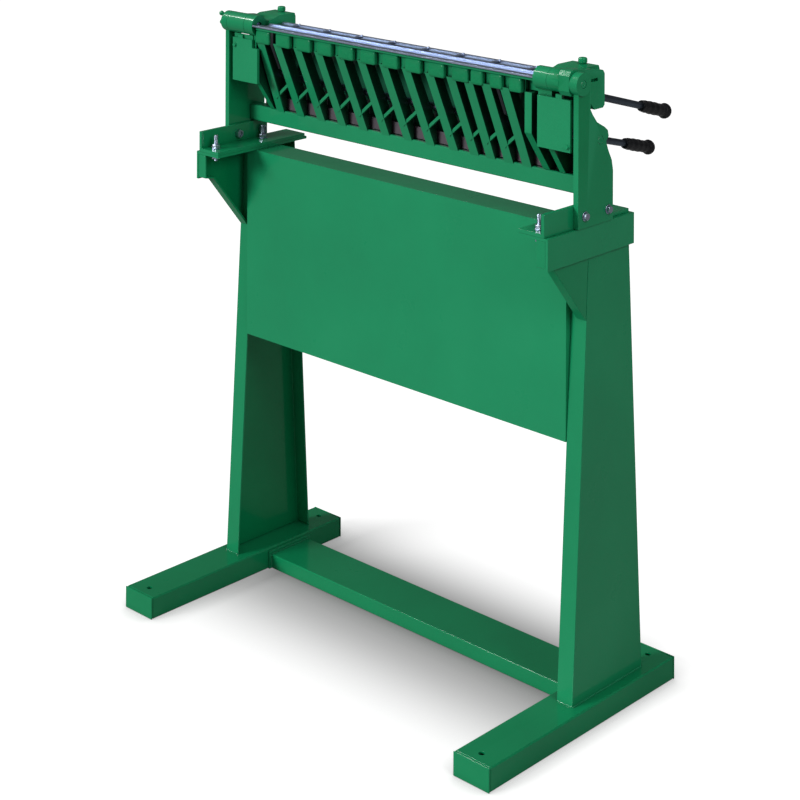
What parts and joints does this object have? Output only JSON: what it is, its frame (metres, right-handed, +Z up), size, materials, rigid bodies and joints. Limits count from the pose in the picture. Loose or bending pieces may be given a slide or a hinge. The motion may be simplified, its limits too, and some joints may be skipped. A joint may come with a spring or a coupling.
{
  "type": "sheet metal brake",
  "caption": "Floor-standing bar folder brake: ribbed bed, fixed folding blade, clamping jaw and a swinging wing with rear-pointing handle, on a green fabricated steel stand.",
  "frame": {"origin": "on the floor, under the centre of the machine's bounding box with the wing at rest", "axes": "+X to the operator's right along the folding length, -Y towards the operator, +Z up"},
  "size_m": [1.2, 0.6936, 1.4645],
  "materials": {
    "green_enamel": "gloss",
    "ground_steel": "ground",
    "blued_steel": "blued",
    "zinc_plate": "bright zinc plate",
    "raw_bar": "unpainted mill",
    "black_paint": "matt black",
    "black_vinyl": "dipped vinyl"
  },
  "bodies": {
    "frame": {"bed_stiffener_bar": "raw_bar", "folding_blade": "ground_steel", "front_panel": "green_enamel", "left_base_angle": "green_enamel", "left_bearing_bracket": "green_enamel", "left_counter_plate": "green_enamel", "left_end_plate": "green_enamel", "left_foot": "green_enamel", "left_foot_front_cap": "green_enamel", "left_foot_rear_cap": "green_enamel", "left_front_hold_down_stud": "zinc_plate", "left_front_plate_bolt": "zinc_plate", "left_front_plate_nut": "zinc_plate", "left_gusset": "green_enamel", "left_leg": "green_enamel", "left_pivot_pin": "ground_steel", "left_rear_hold_down_stud": "zinc_plate", "left_rear_plate_bolt": "zinc_plate", "left_rear_plate_nut": "zinc_plate", "left_stretcher_plate": "green_enamel", "left_top_rail": "green_enamel", "rear_cover": "black_paint", "ribbed_bed": "green_enamel", "right_base_angle": "green_enamel", "right_bearing_bracket": "green_enamel", "right_counter_plate": "green_enamel", "right_end_plate": "green_enamel", "right_foot": "green_enamel", "right_foot_front_cap": "green_enamel", "right_foot_rear_cap": "green_enamel", "right_front_hold_down_stud": "zinc_plate", "right_front_plate_bolt": "zinc_plate", "right_front_plate_nut": "zinc_plate", "right_gusset": "green_enamel", "right_leg": "green_enamel", "right_pivot_pin": "ground_steel", "right_rear_hold_down_stud": "zinc_plate", "right_rear_plate_bolt": "zinc_plate", "right_rear_plate_nut": "zinc_plate", "right_stretcher_plate": "green_enamel", "right_top_rail": "green_enamel", "stretcher": "green_enamel"},
    "wing": {"wing_casting": "green_enamel", "wing_plate": "ground_steel", "wing_rear_plate": "blued_steel", "fold_handle_rod": "blued_steel", "fold_handle_grip": "black_vinyl"},
    "gauge": {"gauge_bar": "ground_steel"},
    "left_knob": {"left_gauge_knob": "green_enamel"},
    "right_knob": {"right_gauge_knob": "green_enamel"},
    "clamp": {"clamp_shaft": "ground_steel", "clamp_lever_hub": "green_enamel", "clamp_lever_rod": "blued_steel", "clamp_lever_grip": "black_vinyl"},
    "jaw": {"lower_jaw": "green_enamel", "left_jaw_link": "blued_steel", "right_jaw_link": "blued_steel"},
    "stop": {"angle_stop_plunger": "green_enamel"},
    "jaw_screw": {"jaw_adjusting_screw": "green_enamel"}
  },
  "joints": [
    {"name": "wing_fold", "type": "hinge", "parent": "frame", "child": "wing", "pos_m": [0, -0.0218, 1.43], "axis": [1, 0, 0], "range_deg": [0, 135]},
    {"name": "gauge_slide", "type": "slide", "parent": "wing", "child": "gauge", "axis": [0, 1, 0], "range_m": [0, 0.02]},
    {"name": "left_gauge_turn", "type": "hinge", "parent": "wing", "child": "left_knob", "pos_m": [-0.5, 0.0862, 1.4505], "axis": [0, 0, 1], "range_deg": [0, 301]},
    {"name": "right_gauge_turn", "type": "hinge", "parent": "wing", "child": "right_knob", "pos_m": [0.5, 0.0862, 1.4505], "axis": [0, 0, 1], "range_deg": [0, 301]},
    {"name": "clamp_lever", "type": "hinge", "parent": "frame", "child": "clamp", "pos_m": [0, 0.0452, 1.296], "axis": [1, 0, 0], "range_deg": [-28, 0]},
    {"name": "jaw_lift", "type": "slide", "parent": "frame", "child": "jaw", "axis": [0, 0, 1], "range_m": [0, 0.0023]},
    {"name": "angle_stop_pull", "type": "slide", "parent": "frame", "child": "stop", "axis": [-1, 0, 0], "range_m": [0, 0.01]},
    {"name": "jaw_adjust_turn", "type": "hinge", "parent": "frame", "child": "jaw_screw", "pos_m": [-0.588, -0.0368, 1.427], "axis": [1, 0, 0], "range_deg": [-180, 180]}
  ],
  "couplings": [
    {"joint": "left_gauge_turn", "follows": "gauge_slide", "rad_per_m": 261.8},
    {"joint": "right_gauge_turn", "follows": "gauge_slide", "rad_per_m": 261.8},
    {"joint": "jaw_lift", "follows": "clamp_lever", "m_per_rad": -0.00458}
  ]
}
